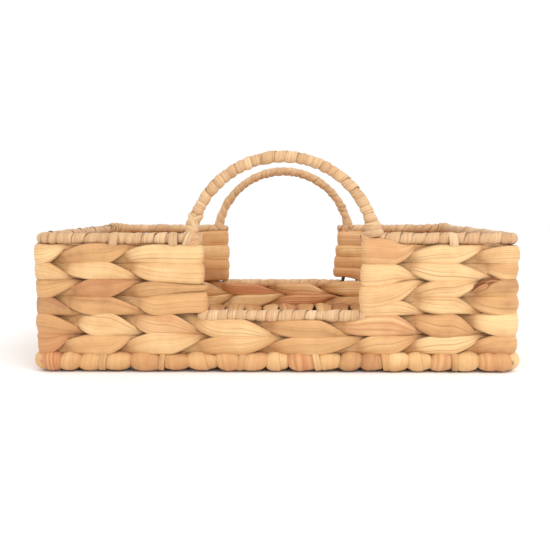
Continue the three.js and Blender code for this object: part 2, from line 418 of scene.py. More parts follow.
def sweep(name, node, paths, material, inputs):
    """Runs the ribbon tree on the paths, and keeps the result as a plain mesh in the place of a
    CAD node."""
    tree = bpy.data.node_groups.get("Leaf Ribbon") or ribbon_tree()
    carrier = bpy.data.objects.new(name + ".paths", paths.mesh(name + ".paths"))
    bpy.context.scene.collection.objects.link(carrier)
    modifier = carrier.modifiers.new("Ribbon", "NODES")
    modifier.node_group = tree
    inputs = {"Material": material, **inputs}
    for item in tree.interface.items_tree:
        if item.in_out == "INPUT" and item.name in inputs:
            modifier[item.identifier] = inputs[item.name]
    depsgraph = bpy.context.evaluated_depsgraph_get()
    mesh = bpy.data.meshes.new_from_object(carrier.evaluated_get(depsgraph), depsgraph=depsgraph)
    mesh.name = name
    carrier.modifiers.remove(modifier)
    bpy.data.objects.remove(carrier)
    piece = bpy.data.objects.new(name, mesh)
    bpy.context.scene.collection.objects.link(piece)
    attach(piece, BODY)
    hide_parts(node)


def sweep_stems(name, node, paths, weave, section_points=28):
    sweep(name, node, paths, leaf_material(), {
        "Section Points": section_points, "Crease Depth": weave.crease_depth,
        "Fold Drop": weave.fold_drop, "Seed": weave.seed})


def sweep_strips(name, node, paths, wraps):
    sweep(name, node, paths, strip_material(), {
        "Section Points": 14, "Crease Depth": 0.35 * MM, "Crease Length": 0.02,
        "Fold Drop": 0.35 * MM, "Seed": wraps.seed})


# ---------------------------------------------------------------- changes along a stem


def smoothstep(value):
    value = np.clip(value, 0.0, 1.0)
    return value * value * (3 - 2 * value)


def held(values, place, change=0.14):
    """Values that hold over each whole number of place and change quickly in between."""
    low = np.floor(place).astype(int)
    share = smoothstep((place - low - 0.5 + change) / (2 * change))
    values = np.asarray(values)
    return values[low] * (1 - share) + values[low + 1] * share


# ---------------------------------------------------------------- woven courses


class Plan:
    """The walls' middle line. Distances are measured along the square-cornered rectangle, from
    the middle of the left end past the front wall, and places are on the round-cornered one."""

    def __init__(self):
        self.corners = [(-PLAN_X, -PLAN_Y), (PLAN_X, -PLAN_Y), (PLAN_X, PLAN_Y), (-PLAN_X, PLAN_Y)]
        self.marks = [PLAN_Y, PLAN_Y + 2 * PLAN_X, 3 * PLAN_Y + 2 * PLAN_X, 3 * PLAN_Y + 4 * PLAN_X]
        self.length = 4 * (PLAN_X + PLAN_Y)

    def front(self, x):
        return self.marks[0] + PLAN_X + x

    def back(self, x):
        return self.marks[2] + PLAN_X - x

    def at(self, distance):
        """The place and the outward direction at a distance, as 3-D arrays at z 0."""
        distance %= self.length
        bend = CORNER_BEND
        for i, mark in enumerate(self.marks):
            if abs(distance - mark) < bend:
                start = (i - 1) * math.pi / 2
                turned = start + (distance - mark + bend) / (2 * bend) * math.pi / 2
                ahead, behind = heading(start + math.pi / 2), heading(start)
                centre = np.array([*self.corners[i], 0.0]) + bend * (ahead - behind)
                outward = right_of(heading(turned))
                return centre + bend * outward, outward
        passed = sum(mark <= distance for mark in self.marks)
        direction = heading((passed - 1) * math.pi / 2)
        start = self.marks[passed - 1] if passed else -PLAN_Y
        corner = np.array([*self.corners[passed - 1], 0.0])
        return corner + (distance - start) * direction, right_of(direction)


def heading(angle):
    return np.array([math.cos(angle), math.sin(angle), 0.0])


def right_of(direction):
    return np.array([direction[1], -direction[0], 0.0])


def left_of(direction):
    return -right_of(direction)


UP = np.array([0.0, 0.0, 1.0])
STEP = 2.2 * MM  # from point to point along a wall's stem

# The knots of their twining, odd ones being crossings, where looped stems' ends meet.
WALL_SEAM = 9
FLOOR_SEAM = 5


def repeated(values, around):
    """Values that start again after one way round, so that a ring's two ends are alike."""
    return values if around is None else np.resize(values[:around], len(values))


class Twining:
    """How one course's stem swings from one side of the stakes to the other and back."""

    def __init__(self, weave, rng, stations, slant, fullness, around=None, turns=None):
        self.weave = weave
        self.slant = slant
        self.fullness = fullness
        self.turns = turns
        shifts = repeated(rng.uniform(-0.13, 0.13, len(stations) - 1), around)
        crossings = (stations[1:] + stations[:-1]) / 2 + shifts * np.diff(stations)
        self.knots = np.sort(np.concatenate([stations, crossings]))
        self.phases = np.arange(len(self.knots)) * math.pi / 2

    def phase(self, distance):
        return np.interp(distance, self.knots, self.phases)

    def seam(self, distances, knot):
        """The point nearest to a knot."""
        return int(np.argmin(np.abs(distances - self.knots[knot])))

    def past_stakes(self, distance):
        """0 up to the last crossings, and up to 1 at the upright wires outside them."""
        before = (self.knots[1] - distance) / (self.knots[1] - self.turns[0])
        after = (distance - self.knots[-2]) / (self.turns[1] - self.knots[-2])
        return np.clip(np.maximum(before, after), 0, 1)


def stem_numbers(rng, turns, low, high):
    """What changes from one visible stretch of a stem to the next, for half turns of twining. Its
    tones lie between low and high."""
    folded = rng.random(turns) < 0.55
    return {
        "tone": np.clip(rng.uniform(low, high, turns) + rng.normal(0, 0.08, turns), 0, 1),
        "blush": np.where(rng.random(turns) < 0.16, rng.uniform(0.25, 0.7, turns), 0.0),
        "fold": rng.uniform(-0.6, 0.6, turns),
        "fold_depth": np.where(folded, rng.uniform(0.4, 1.0, turns), 0.0),
        "girth": rng.uniform(0.9, 1.12, turns),
        "lift": rng.uniform(-0.9, 0.9, turns) * MM,
        "proud": rng.uniform(-0.7, 0.5, turns) * MM,
    }


def tent(phase, peak, reach):
    """1 where a phase is at the peak, and 0 from reach away."""
    off = np.abs((phase - peak + math.pi) % math.tau - math.pi)
    return np.clip(1 - off / reach, 0, 1)


# A stem narrows to its tip and to its root over this much phase, and with this power.
TIP_SHAPE = 1.4, 1.22
ROOT_SHAPE = 1.15, 1.4
CLIMB = 0.88  # how much of its narrowing a stem climbs or sinks by
LEAN = 0.3  # how far a stem's face turns up or down between stakes, as an angle
SQUARENESS = 0.33  # how long a stem stays in front of a stake before it swings to the back


def twined_section(twining, phase, numbers):
    """Offsets, facing angle and half sizes of a stem at each phase. At phase 0 it is in front of
    a stake, and at half a turn it is behind the next one. It goes to the back as a narrow tip, on
    top of its partner, which comes to the front fanning out from a gathered root underneath."""
    weave = twining.weave
    place = phase / math.pi + 1
    section = {key: held(values, place) for key, values in numbers.items()}
    tip = tent(phase, math.pi / 2, TIP_SHAPE[0]) ** TIP_SHAPE[1]
    root = tent(phase, -math.pi / 2, ROOT_SHAPE[0]) ** ROOT_SHAPE[1]
    full = weave.stem_half_width * twining.fullness * section["girth"]
    to_tip = (full - weave.tip_half_width * twining.fullness) * tip
    to_root = (full - weave.root_half_width * twining.fullness) * root
    section["half_width"] = full - to_tip - to_root
    section["half_thickness"] = weave.stem_half_thickness * (1 + 0.3 * tip + 0.5 * root)
    section["climb"] = twining.slant * CLIMB * (to_tip - to_root)
    section["climb"] += section["lift"] * (1 - tip - root)
    swing = phase - SQUARENESS * np.sin(2 * phase)
    section["out"] = (weave.reach + section["proud"]) * np.cos(swing)
    section["lean"] = LEAN * twining.slant * np.sin(swing)
    section["cup"] = weave.cup * np.cos(swing)
    # Painted shade at the narrow tip and the gathered root, where one stem passes under another.
    section["shade"] = 0.75 * tip ** 4 + 0.95 * root ** 3
    section["plain"] = np.zeros(len(phase))
    return section


def end_ribs(plan):
    """Distances of the stakes in the two ends, which are the ribs' upright legs."""
    left = [-y for y in RIBS_Y]
    right = [plan.marks[1] + PLAN_Y + y for y in RIBS_Y]
    return [d % plan.length for d in left], right


# Stakes at the start of a ring that its stations list again at the end.
RING_OVERLAP = 3


def ring_stations(plan):
    left, right = end_ribs(plan)
    once = [*plan.marks, *left, *right]
    once += [plan.front(x) for x in STAKES_X] + [plan.back(x) for x in STAKES_X]
    once = np.sort(np.array(once))
    return np.concatenate([once, once[:RING_OVERLAP] + plan.length])


def panel_stations(plan, end):
    """Stakes that a U-shaped course passes, in order, and the upright wires where it turns."""
    left, right = end_ribs(plan)
    wire = DIP_EDGES[end] + (-DIP_WIRE_INSET if end == "left" else DIP_WIRE_INSET)
    if end == "right":
        outer = [x for x in STAKES_X if x > wire]
        stakes = [plan.front(x) for x in outer] + [plan.marks[1]] + right
        stakes += [plan.marks[2]] + [plan.back(x) for x in outer]
        turns = plan.front(wire), plan.back(wire)
    else:
        outer = [x for x in STAKES_X if x < wire]
        ribs = [d - plan.length if d > plan.length / 2 else d for d in left]
        stakes = [plan.back(x) - plan.length for x in outer] + [plan.marks[3] - plan.length] + ribs
        stakes += [plan.marks[0]] + [plan.front(x) for x in outer]
        turns = plan.back(wire) - plan.length, plan.front(wire)
    return np.sort(np.array(stakes)), turns


# How the stems of each panel course turn round the upright wire beside the dip: the height of
# their middle above the stand, half their width, how far out they lie and how far past the wire
# they reach, in millimetres. At the front left one is a split stem, thin and proud, and the
# others spread over its place.
EDGE_STEMS = {
    ("left", "front"): {3: (58.0, 9.5, 4.4, 6.4), 4: (69.3, 2.6, 6.4, 7.4),
                        5: (80.6, 9.4, 3.8, 4.2), 6: (96.3, 8.3, 3.9, 3.9)},
    ("right", "front"): {3: (51.6, 6.0, 3.2, 4.6), 4: (61.4, 9.3, 4.3, 5.2),
                         5: (79.0, 10.2, 4.0, 4.2), 6: (99.6, 11.4, 4.6, 3.8)},
    ("left", "back"): {3: (56.0, 7.0, 4.0, 4.4), 4: (66.5, 7.4, 4.4, 4.8),
                       5: (81.5, 9.2, 4.2, 5.0), 6: (97.6, 9.4, 3.8, 4.2)},
    ("right", "back"): {3: (59.5, 6.2, 4.2, 9.6), 4: (69.8, 8.6, 4.0, 8.6),
                        5: (83.2, 7.2, 4.6, 7.2), 6: (98.0, 9.8, 3.8, 5.0)},
}


def half_turn(place, start, along, radius, past, facing_in, steps=9):
    """Points and facings from the start direction round to the other side. The turn is radius
    wide to each side and reaches past the wire in the along direction."""
    angles = np.linspace(0, math.pi, steps + 2)[1:-1]
    radial = np.outer(np.cos(angles), start) + np.outer(np.sin(angles), along)
    points = np.outer(radius * np.cos(angles), start) + np.outer(past * np.sin(angles), along)
    return place + points, -radial if facing_in else radial


def join_stretches(stretches):
    """Ends of stretches joined into one, as arrays of centres, facings and numbers."""
    centres = np.concatenate([s["centres"] for s in stretches])
    facing = np.concatenate([s["facing"] for s in stretches])
    keys = [k for k in stretches[0] if k not in ("centres", "facing")]
    numbers = {k: np.concatenate([s[k] for s in stretches]) for k in keys}
    return centres, facing, numbers


def between(before, after, centres, facing):
    """A stretch whose numbers change evenly from the end of one to the start of the next."""
    share = np.linspace(0, 1, len(centres) + 2)[1:-1]
    stretch = {"centres": centres, "facing": facing}
    for key in before:
        if key not in stretch:
            stretch[key] = before[key][-1] * (1 - share) + after[key][0] * share
    return stretch


def reversed_stretch(stretch):
    return {key: values[::-1] for key, values in stretch.items()}


def add_loop(paths, out, back, ends, seam):
    """A stem out, round one end, back, and round the other. Its two ends meet at the seam."""
    far, near = ends
    back = reversed_stretch(back)
    stretches = [out, between(out, back, *far), back, between(back, out, *near)]
    centres, facing, numbers = join_stretches(stretches)
    order = np.roll(np.arange(len(centres)), -seam)
    order = np.concatenate([order, order[:3]])
    paths.add(centres[order], facing[order], **{k: v[order] for k, v in numbers.items()})


def wall_stretch(plan, twining, distances, turned, z, numbers, edges=None):
    """One stem along the wall. A turned stem is half a turn behind its partner. edges says how it
    lies at its first and last ends: its height, half width and reach."""
    phase = twining.phase(distances) + (math.pi if turned else 0.0)
    section = twined_section(twining, phase, numbers)
    z = np.broadcast_to(z, len(distances)).copy()
    if edges is not None:
        share = smoothstep(twining.past_stakes(distances))
        first_half = (distances < distances.mean())[:, None]
        height, half_width, reach, _ = np.where(first_half, edges[0], edges[1]).T
        z += share * (height - z)
        section["climb"] *= 1 - share
        section["half_width"] += share * (half_width - section["half_width"])
        section["out"] += share * (np.sign(section["out"]) * reach - section["out"])
        section["fold_depth"] *= 1 - 0.5 * share
    places = [plan.at(d) for d in distances]
    ground = np.array([p for p, _ in places])
    outward = np.array([o for _, o in places])
    centres = ground + section["out"][:, None] * outward + (z + section["climb"])[:, None] * UP
    lean = section["lean"][:, None]
    facing = np.cos(lean) * outward + np.sin(lean) * UP
    if turned:
        facing = -facing
        section["cup"] = -section["cup"]
    return {"centres": centres, "facing": facing, **stretch_numbers(section)}


def stretch_numbers(section):
    return {key: section[key] for key in ("half_width", "half_thickness", "cup", *KEPT)}


def add_ring(paths, plan, weave, rng, z, number):
    """A course that runs all the way round: two stems that each close on themselves."""
    stations = ring_stations(plan)
    around = len(stations) - RING_OVERLAP
    twining = Twining(weave, rng, stations, wall_slant(number), COURSE_FULLNESS[number], around)
    start = (stations[0] + stations[1]) / 2
    distances = np.linspace(start, start + plan.length, round(plan.length / STEP) + 1)
    stems = [stem_numbers(rng, 2 * len(stations), *wall_tones(number)) for _ in range(2)]
    stain(plan, stations, number, stems)
    heights = np.full(len(distances), z)
    fullness = np.ones(len(distances))
    for side in SIDES:
        sag, flattened = DIP_SHAPES[side, number]
        dip = in_dip(plan, distances, side)
        heights -= dip * sag * MM
        fullness -= dip * (1 - flattened)
    for turned, stem in enumerate(stems):
        numbers = {key: repeated(values, around) for key, values in stem.items()}
        stretch = wall_stretch(plan, twining, distances, turned, heights, numbers)
        stretch["half_width"] *= fullness
        stretch["centres"][:, 2] = heights + (stretch["centres"][:, 2] - heights) * fullness
        paths.add(**stretch)


def add_panel_course(paths, plan, weave, rng, z, number, end):
    """A U-shaped course: one stem out and back, with a turn round the wire at each edge."""
    edges = [np.array(EDGE_STEMS[end, side][number]) * MM for side in ("back", "front")]
    if end == "right":
        edges.reverse()
    stakes, turns = panel_stations(plan, end)
    twining = Twining(
        weave, rng, stakes, wall_slant(number), COURSE_FULLNESS[number], turns=turns)
    distances = np.arange(turns[0], turns[1] + STEP / 2, STEP)
    numbers = [stem_numbers(rng, len(stakes) + 4, *wall_tones(number)) for _ in range(2)]
    if end == "right":
        for stem in numbers:
            stem["tone"][:PALE_HALF_TURNS] = rng.uniform(0.62, 0.9)
    out = wall_stretch(plan, twining, distances, False, z, numbers[0], edges)
    back = wall_stretch(plan, twining, distances, True, z, numbers[1], edges)
    ends = []
    for distance, forward, edge in ((turns[1], 1.0, edges[1]), (turns[0], -1.0, edges[0])):
        leaving, last = (out, -1) if forward > 0 else (back, 0)
        place, outward = plan.at(distance)
        place = place + edge[0] * UP
        start = unit((leaving["centres"][last] - place) * (1, 1, 0))
        facing_in = leaving["facing"][last] @ start < 0
        ends.append(half_turn(place, start, forward * left_of(outward), edge[2], edge[3],
                              facing_in))
    add_loop(paths, out, back, ends, twining.seam(distances, WALL_SEAM))


# Half turns of the right courses' stems, from the front dip, that are pale.
PALE_HALF_TURNS = 3

# Torn ends that stick out of a gap in the right front panel's course 4, over its dark inside, and
# behind them a dark ribbon that is a painted shadow in the gap: the places of their ends on the
# wall (x, z), how far they lie from its middle, half their width, how stained they are, and how
# much painted shade they carry. Places and sizes are in millimetres.
STRAY_ENDS_AND_GAP_SHADOW = (
    # The first is no torn end but the painted shadow in the gap, a dark ribbon behind the others.
    ((157.0, 68.0), (180.0, 76.5), 6.0, 3.8, 0.0, 1.7),
    ((158.5, 66.5), (173.0, 72.5), 7.4, 2.0, 0.7, 0.0),
    ((165.0, 73.0), (179.0, 75.5), 7.6, 0.9, 0.6, 0.1),
)


def add_stray_ends_and_gap_shadow(paths):
    """The torn ends and the gap's painted shadow, each bowed outward and upward, narrow at both
    ends.
    """
    for (x0, z0), (x1, z1), out, half_width, blush, shade in STRAY_ENDS_AND_GAP_SHADOW:
        share = np.linspace(0, 1, 13)
        bow = np.sin(share * math.pi)
        centres = np.stack([
            x0 + (x1 - x0) * share, -PLAN_Y / MM - out * (0.45 + 0.55 * bow),
            z0 + (z1 - z0) * share + 1.2 * bow], axis=1) * MM
        facing = np.broadcast_to([0.0, -1.0, 0.0], (len(share), 3))
        paths.add(centres, facing, half_width=half_width * (0.3 + 0.7 * bow) * MM,
                  half_thickness=0.5 * MM, tone=0.2, blush=blush, shade=shade)


# The lower courses are fuller than the upper ones, so the visible courses lie a little off the
# middles of the solid ones: how far, in millimetres, and how full each is.
COURSE_LIFTS = {1: -2.2, 2: -0.1, 3: 0.8, 4: 0.4, 5: 0.0, 6: -0.5}
COURSE_FULLNESS = {1: 1.12, 2: 1.12, 3: 1.0, 4: 0.97, 5: 0.97, 6: 0.99}

# Under the low rims the rings are pushed down, in millimetres, and are less full.
DIP_SHAPES = {
    ("front", 1): (0.7, 0.97), ("front", 2): (4.2, 0.87),
    ("back", 1): (-2.8, 0.98), ("back", 2): (0.8, 0.86),
}
DIP_BLEND = 26 * MM


def in_dip(plan, distances, side):
    """1 under a low rim, and 0 at the walls on both sides of it."""
    half = (DIP_EDGES["right"] - DIP_EDGES["left"]) / 2
    mark = plan.front(DIP_MIDDLE) if side == "front" else plan.back(DIP_MIDDLE)
    around = (distances - mark + plan.length / 2) % plan.length - plan.length / 2
    return smoothstep((half + DIP_BLEND / 2 - np.abs(around)) / DIP_BLEND)


# Red-brown stains on the rings: the course, the wall, the x of the nearest stake in metres,
# whether the stain is on the outside or inside, and how strong it is.
STAINS = (
    (1, "front", -0.191, "outside", 0.55), (2, "front", -0.191, "outside", 0.3),
    (2, "front", -0.09, "outside", 0.42), (2, "back", -0.031, "inside", 1.0),
    (1, "back", 0.031, "inside", 1.0), (2, "back", 0.14, "inside", 0.4),
)


def stain(plan, stations, number, stems):
    """Puts a ring's stains into its two stems' numbers."""
    for course, wall, x, face, strength in STAINS:
        if course == number:
            place = plan.front(x) if wall == "front" else plan.back(x)
            i = int(np.argmin(np.abs(stations - place)))
            turned = (i + (face == "inside")) % 2
            stems[turned]["blush"][i + 1 + turned] = strength


def wall_height(node, number):
    return middle(node).z + COURSE_LIFTS[number] * MM


def wall_tones(number):
    """Range of tones of a wall course: the upper courses are a little deeper in colour."""
    return (0.35, 0.92) if number <= RINGS else (0.22, 0.86)


def wall_slant(number):
    """Which way a course's stems climb, seen from outside: the courses alternate above the
    second, and the lowest two make the same chevron."""
    return 1.0 if number in (1, 4, 6) else -1.0


# ---------------------------------------------------------------- floor

FLOOR_RISE = 2.4 * MM  # from the bottom wire's level up to the middle of the floor's weave
FLOOR_STEPS = 124
LUMP_REACH = 5.7 * MM  # from the bottom wire to the middle of a stem that turns round it
LUMP_ZONE = 42 * MM  # along which a flat stem of the floor becomes a lump
LUMP_HALF_THICKNESS = 2.8 * MM
LUMP_CUP = 1.7 * MM
HEEL_RISE = 7.0 * MM  # how far the floor's stems climb along the inside of the back wall
HEEL_PLACE = PLAN_Y - 13 * MM
HEEL_SPREAD = 7 * MM

# The floor's courses bunch unevenly where they turn round the front wire: the places along it,
# from left to right, where one lump ends and the next begins, in millimetres.
FRONT_LUMP_EDGES = [
    -176, -160, -141, -118.5, -93, -72, -48, -28, -8, 10, 33, 52, 69, 89, 107, 126, 145, 164, 185]

# How strongly some of the floor's courses are stained red-brown.
LUMP_STAINS = {1: 0.3, 4: 0.25, 7: 0.3, 10: 0.75, 13: 0.3, 16: 0.4, 18: 0.5}


def floor_stretch(weave, twining, x, distances, turned, numbers, lumps):
    """One stem of a floor course, from front to back."""
    phase = twining.phase(distances) + (math.pi if turned else 0.0)
    section = twined_section(twining, phase, numbers)
    near = smoothstep((np.abs(distances) - PLAN_Y + LUMP_ZONE) / LUMP_ZONE)
    lump = {key: np.where(distances > 0, lumps[1][key], lumps[0][key]) for key in lumps[0]}
    out = section["out"] * (1 + near * (lump["reach"] / weave.reach - 1))
    z = BOTTOM_Z + (1 - near) * FLOOR_RISE + out
    heel = np.exp(-((distances - HEEL_PLACE) / HEEL_SPREAD) ** 2)
    z += HEEL_RISE * heel
    # Painted shade in the corner where the floor's stems climb up the inside of the back wall.
    section["shade"] = np.maximum(section["shade"], 0.65 * heel)
    shift = lump["x"] - x + lump["twist"] * np.sign(out)
    sideways = section["climb"] * (1 - near) + near * shift
    centres = np.stack([x + sideways, distances, z], axis=1)
    section["half_width"] += near ** 2 * (lump["half_width"] - section["half_width"])
    section["half_thickness"] += near ** 3 * (LUMP_HALF_THICKNESS - section["half_thickness"])
    section["plain"] += near ** 3
    lean = section["lean"][:, None]
    facing = np.cos(lean) * UP + np.sin(lean) * np.array([1.0, 0.0, 0.0])
    section["cup"] += near ** 3 * (np.sign(out) * LUMP_CUP - section["cup"])
    if turned:
        facing = -facing
        section["cup"] = -section["cup"]
    return {"centres": centres, "facing": facing, **stretch_numbers(section)}


def floor_lumps(rng, x, half_pitch, number):
    """Where a floor course's front and back lumps are and how wide: [front, back]."""
    low, high = FRONT_LUMP_EDGES[number - 1] * MM, FRONT_LUMP_EDGES[number] * MM
    widths = (high - low) / 2, half_pitch * rng.uniform(0.95, 1.05)
    middles = (low + high) / 2, x + rng.uniform(-1.5, 1.5) * MM
    return [
        {"x": middle_x, "half_width": half_width + 0.9 * MM, "twist": rng.uniform(-1.6, 1.6) * MM,
         "reach": LUMP_REACH * rng.uniform(0.86, 1.02)}
        for middle_x, half_width in zip(middles, widths)]


def add_floor_course(paths, weave, rng, x, half_pitch, number):
    """A course from front to back: one stem out and back, turning round the wire at both."""
    stations = np.array([-PLAN_Y, *RIBS_Y, PLAN_Y])
    fullness = half_pitch / weave.stem_half_width * 1.1
    twining = Twining(weave, rng, stations, 1.0 if number % 2 else -1.0, fullness)
    distances = np.linspace(-PLAN_Y, PLAN_Y, FLOOR_STEPS)
    lumps = floor_lumps(rng, x, half_pitch, number)
    numbers = [stem_numbers(rng, len(stations) + 4, 0.2, 0.85) for _ in range(2)]
    for stem in numbers:
        stem["blush"] = np.maximum(stem["blush"], LUMP_STAINS.get(number, 0.0))
    out = floor_stretch(weave, twining, x, distances, False, numbers[0], lumps)
    back = floor_stretch(weave, twining, x, distances, True, numbers[1], lumps)
    ends = []
    for y, lump in ((PLAN_Y, lumps[1]), (-PLAN_Y, lumps[0])):
        leaving, last = (out, -1) if y > 0 else (back, 0)
        start = math.copysign(1.0, leaving["centres"][last][2] - BOTTOM_Z) * UP
        along = np.array([0.0, math.copysign(1.0, y), 0.0])
        facing_in = leaving["facing"][last] @ start < 0
        place = np.array([lump["x"], y, BOTTOM_Z])
        turn, facing = half_turn(place, start, along, lump["reach"], lump["reach"], facing_in,
                                 steps=13)
        turn[:, 0] += lump["twist"] * (turn[:, 2] - BOTTOM_Z) / lump["reach"]
        ends.append((turn, facing))
    add_loop(paths, out, back, ends, twining.seam(distances, FLOOR_SEAM))


# ---------------------------------------------------------------- wound strips

STEPS_PER_TURN = 16
RAIL_STEPS = 800
CORNER_SPREAD = 9 * MM  # on both sides of a corner, where the turns are closer
CORNER_CROWDING = 1.3
HELIX_STEP = 0.78  # how much of each turn's way along the rail is made on its slanted side
STRIP_OVERLAP = 0.6  # half a strip's width, for each unit from one turn to the next


def wind(paths, rng, wraps, rail, length, pitch, radius, face=0.0, taper=4.5 * MM, corners=()):
    """A strip wound round a rail. rail(distance) gives a place and two directions square to the
    rail, and radius(distance) the distance from the rail to the middle of the strip. The turns
    lie square to the rail on the side at the face angle and move on along it at the other. The
    ends taper, and the turns are closer round the rail's corners."""
    steps = STEPS_PER_TURN
    grid = np.linspace(0, length, RAIL_STEPS)
    density = np.ones(len(grid))
    for corner in corners:
        density += CORNER_CROWDING * np.exp(-((grid - corner) / CORNER_SPREAD) ** 2)
    passed = np.concatenate([[0.0], np.cumsum(density[1:])]) * length / (len(grid) - 1)
    turns = round(passed[-1] / pitch)
    widths = rng.uniform(0.58, 1.42, turns)
    marks = np.concatenate([[0.0], np.cumsum(widths)]) * passed[-1] / widths.sum()
    marks = np.interp(marks, passed, grid)
    place = np.linspace(0, turns, turns * steps + 1)
    angle = math.tau * place + face + math.pi
    moved = np.clip(place - HELIX_STEP * np.sin(angle - face) / math.tau, 0, turns)
    distances = np.interp(moved, np.arange(turns + 1), marks)
    frames = [rail(d) for d in distances]
    centre, first, second = (np.array(column) for column in zip(*frames))
    radial = np.cos(angle)[:, None] * first + np.sin(angle)[:, None] * second
    ahead = np.cross(first, second)

    def each_turn(low, high, share=1.0):
        values = np.where(rng.random(turns + 2) < share, rng.uniform(low, high, turns + 2), 0.0)
        return held(values, place + 0.5)

    ends = np.clip(np.minimum(distances, length - distances) / taper, 0, 1)
    reach = np.array([radius(d) for d in distances]) + each_turn(-0.4, 0.4) * MM
    reach *= np.sqrt(1 - 0.96 * (1 - ends) ** 2)
    lean = wraps.shingle + each_turn(-0.08, 0.08)[:, None]
    facing = np.cos(lean) * radial + np.sin(lean) * ahead
    points = centre + reach[:, None] * radial
    gaps = lengths(points[steps:] - points[:-steps])
    spacing = (np.concatenate([gaps, gaps[-steps:]]) + np.concatenate([gaps[:steps], gaps])) / 2
    paths.add(
        points, facing, half_width=spacing * STRIP_OVERLAP * (0.3 + 0.7 * ends),
        half_thickness=wraps.strip_half_thickness, cup=wraps.cup, tone=each_turn(0.38, 0.72),
        fold=each_turn(-0.5, 0.5), fold_depth=each_turn(0.3, 0.9, 0.5),
        blush=each_turn(0.2, 0.5, 0.07))


HOOP_STEPS = 22
HOOP_LAP = 0.15  # how far a hoop's ends pass each other, as an angle


def add_hoop(paths, centre, first, second, radius, half_width, half_thickness, tone,
             start=math.pi, tilt=0.0, **numbers):
    """A strip once round a wire, its ends lapped on the side that start names. A tilt moves its
    two sides apart along the wire."""
    angle = np.linspace(start - HOOP_LAP, start + math.tau + HOOP_LAP, HOOP_STEPS)
    reach = radius + np.linspace(-0.2, 0.2, HOOP_STEPS) * half_thickness
    axis = np.cross(first, second)
    radial = np.outer(np.cos(angle), first) + np.outer(np.sin(angle), second)
    lean = tilt * radius * np.sin(angle)[:, None] * axis
    paths.add(centre + reach[:, None] * radial + lean, radial, half_width=half_width,
              half_thickness=half_thickness, tone=tone, **numbers)


def level_rail(plan, start, z):
    """A rail along the wall's middle line."""

    def rail(distance):
        place, outward = plan.at(start + distance)
        return place + z * UP, outward, UP
    return rail


def handle_arc(side):
    """The middle and radius of a handle's arc, from its wire's box."""
    low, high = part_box(f"{side}_handle_wire")
    half = (high.x - low.x) / 2 - WIRE_R
    height = high.z - WIRE_R - low.z
    radius = (half * half + height * height) / (2 * height)
    centre = np.array([(low.x + high.x) / 2, (low.y + high.y) / 2, high.z - WIRE_R - radius])
    return centre, radius


def arch_rail(centre, radius, foot):
    """A rail over a handle's arc, from its left foot, which is that angle above the middle."""

    def rail(distance):
        angle = math.pi - foot - distance / radius
        radial = np.array([math.cos(angle), 0.0, math.sin(angle)])
        return centre + radius * radial, radial, np.array([0.0, 1.0, 0.0])
    return rail


# ---------------------------------------------------------------- materials


